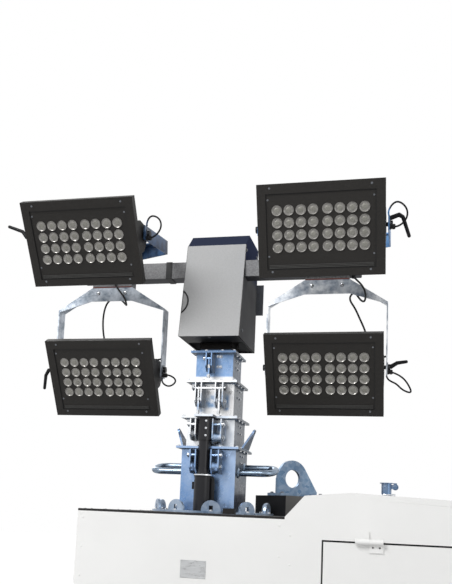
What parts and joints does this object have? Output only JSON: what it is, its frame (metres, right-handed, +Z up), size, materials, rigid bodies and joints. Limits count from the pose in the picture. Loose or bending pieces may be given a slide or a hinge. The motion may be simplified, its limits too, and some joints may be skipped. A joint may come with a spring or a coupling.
{
  "type": "mobile light tower",
  "caption": "Towed light tower: trailer with engine canopy, telescopic mast on a turntable and tilting LED floodlights on a crossbar.",
  "frame": {"origin": "centre of the bounding box at ground level", "axes": "+X from the drawbar to the rear, +Z up, the lamps face -Y"},
  "size_m": [3.06, 1.696, 2.6262],
  "materials": {
    "frame_black": "satin black powder coat",
    "canopy_white": "off-white moulded canopy",
    "engine_grey": "dark cast housing",
    "exhaust_steel": "blued steel",
    "zinc_steel": "galvanised steel",
    "zinc_mast": "galvanised steel",
    "bar_zinc": "grey galvanised steel",
    "yoke_zinc": "mottled galvanised steel",
    "jack_zinc": "galvanised steel",
    "fender_black": "black moulded plastic",
    "handle_chrome": "polished tube",
    "rod_chrome": "hard chrome",
    "cylinder_black": "gloss black paint",
    "head_cover": "grey powder coat",
    "lamp_black": "black anodised housing",
    "lens": "ribbed lens",
    "rim_white": "silver painted rim",
    "tyre": "black rubber"
  },
  "bodies": {
    "chassis": {"chassis_pan": "frame_black", "drawbar": "frame_black", "tow_eye": "zinc_steel", "axle": "frame_black", "canopy_near": "canopy_white", "canopy_far": "canopy_white", "canopy_roof": "canopy_white", "canopy_rear": "canopy_white", "front_cabinet": "canopy_white", "deck": "frame_black", "engine": "engine_grey", "exhaust": "exhaust_steel", "lift_frame": "frame_black", "lift_eye": "zinc_steel", "turntable": "zinc_steel", "mast_seat": "frame_black", "fender_near": "fender_black", "fender_far": "fender_black", "jack_tube_front_near": "jack_zinc", "jack_tube_front_far": "jack_zinc", "jack_tube_rear_near": "jack_zinc", "jack_tube_rear_far": "jack_zinc", "jack_tube_drawbar": "jack_zinc"},
    "door_near": {"door_near": "canopy_white"},
    "door_far": {"door_far": "canopy_white"},
    "control_door": {"control_door": "canopy_white"},
    "rain_cap": {"rain_cap": "exhaust_steel"},
    "wheel_near": {"rim_near": "rim_white", "tyre_near": "tyre"},
    "wheel_far": {"rim_far": "rim_white", "tyre_far": "tyre"},
    "mast_base": {"mast_base": "zinc_mast", "mast_foot": "zinc_steel", "turn_handles": "handle_chrome", "cylinder_barrel": "cylinder_black"},
    "mast_2": {"mast_section_2": "zinc_mast", "cylinder_rod": "rod_chrome"},
    "mast_3": {"mast_section_3": "zinc_mast"},
    "mast_4": {"mast_section_4": "zinc_mast"},
    "mast_head": {"mast_section_5": "zinc_mast", "head_box": "head_cover", "crossbar": "bar_zinc", "head_cables": "fender_black", "yoke_upper_left": "yoke_zinc", "yoke_upper_right": "yoke_zinc", "yoke_lower_left": "yoke_zinc", "yoke_lower_right": "yoke_zinc"},
    "jack_front_near": {"jack_leg_front_near": "jack_zinc"},
    "jack_front_far": {"jack_leg_front_far": "jack_zinc"},
    "jack_rear_near": {"jack_leg_rear_near": "jack_zinc"},
    "jack_rear_far": {"jack_leg_rear_far": "jack_zinc"},
    "jack_drawbar": {"jack_leg_drawbar": "jack_zinc"},
    "lamp_upper_left": {"lamp_upper_left": "lamp_black", "lenses_upper_left": "lens"},
    "lamp_upper_right": {"lamp_upper_right": "lamp_black", "lenses_upper_right": "lens"},
    "lamp_lower_left": {"lamp_lower_left": "lamp_black", "lenses_lower_left": "lens"},
    "lamp_lower_right": {"lamp_lower_right": "lamp_black", "lenses_lower_right": "lens"}
  },
  "joints": [
    {"name": "wheel_spin_near", "type": "hinge", "parent": "chassis", "child": "wheel_near", "pos_m": [0.48, -0.7405, 0.3], "axis": [0, 1, 0], "continuous": true},
    {"name": "wheel_spin_far", "type": "hinge", "parent": "chassis", "child": "wheel_far", "pos_m": [0.48, 0.7405, 0.3], "axis": [0, 1, 0], "continuous": true},
    {"name": "jack_lift_front_near", "type": "slide", "parent": "chassis", "child": "jack_front_near", "axis": [0, 0, 1], "range_m": [0, 0.24]},
    {"name": "jack_lift_front_far", "type": "slide", "parent": "chassis", "child": "jack_front_far", "axis": [0, 0, 1], "range_m": [0, 0.24]},
    {"name": "jack_lift_rear_near", "type": "slide", "parent": "chassis", "child": "jack_rear_near", "axis": [0, 0, 1], "range_m": [0, 0.24]},
    {"name": "jack_lift_rear_far", "type": "slide", "parent": "chassis", "child": "jack_rear_far", "axis": [0, 0, 1], "range_m": [0, 0.24]},
    {"name": "jack_lift_drawbar", "type": "slide", "parent": "chassis", "child": "jack_drawbar", "axis": [0, 0, 1], "range_m": [0, 0.24]},
    {"name": "mast_turn", "type": "hinge", "parent": "chassis", "child": "mast_base", "pos_m": [-0.2, 0, 1.4], "axis": [0, 0, 1], "range_deg": [-170, 170]},
    {"name": "mast_lift_2", "type": "slide", "parent": "mast_base", "child": "mast_2", "axis": [0, 0, 1], "range_m": [0, 1.05]},
    {"name": "mast_lift_3", "type": "slide", "parent": "mast_2", "child": "mast_3", "axis": [0, 0, 1], "range_m": [0, 1.05]},
    {"name": "mast_lift_4", "type": "slide", "parent": "mast_3", "child": "mast_4", "axis": [0, 0, 1], "range_m": [0, 1.05]},
    {"name": "mast_lift_5", "type": "slide", "parent": "mast_4", "child": "mast_head", "axis": [0, 0, 1], "range_m": [0, 1.05]},
    {"name": "door_lift_near", "type": "hinge", "parent": "chassis", "child": "door_near", "pos_m": [0.795, -0.634, 1.33], "axis": [-1, 0, 0], "range_deg": [0, 75]},
    {"name": "door_lift_far", "type": "hinge", "parent": "chassis", "child": "door_far", "pos_m": [0.795, 0.634, 1.33], "axis": [1, 0, 0], "range_deg": [0, 75]},
    {"name": "control_swing", "type": "hinge", "parent": "chassis", "child": "control_door", "pos_m": [-0.549, -0.26, 0.975], "axis": [0, 0, 1], "range_deg": [0, 110]},
    {"name": "rain_cap_lift", "type": "hinge", "parent": "chassis", "child": "rain_cap", "pos_m": [0.561, -0.2, 1.528], "axis": [0, 1, 0], "range_deg": [0, 70]},
    {"name": "lamp_tilt_upper_left", "type": "hinge", "parent": "mast_head", "child": "lamp_upper_left", "pos_m": [-0.669, -0.399, 2.501], "axis": [1, 0, 0], "range_deg": [-40, 40]},
    {"name": "lamp_tilt_upper_right", "type": "hinge", "parent": "mast_head", "child": "lamp_upper_right", "pos_m": [0.283, -0.399, 2.497], "axis": [1, 0, 0], "range_deg": [-40, 40]},
    {"name": "lamp_tilt_lower_left", "type": "hinge", "parent": "mast_head", "child": "lamp_lower_left", "pos_m": [-0.671, -0.099, 2.003], "axis": [1, 0, 0], "range_deg": [-40, 40]},
    {"name": "lamp_tilt_lower_right", "type": "hinge", "parent": "mast_head", "child": "lamp_lower_right", "pos_m": [0.275, -0.099, 2.012], "axis": [1, 0, 0], "range_deg": [-40, 40]}
  ],
  "couplings": [
    {"joint": "mast_lift_3", "follows": "mast_lift_2", "ratio": 1},
    {"joint": "mast_lift_4", "follows": "mast_lift_2", "ratio": 1},
    {"joint": "mast_lift_5", "follows": "mast_lift_2", "ratio": 1}
  ]
}
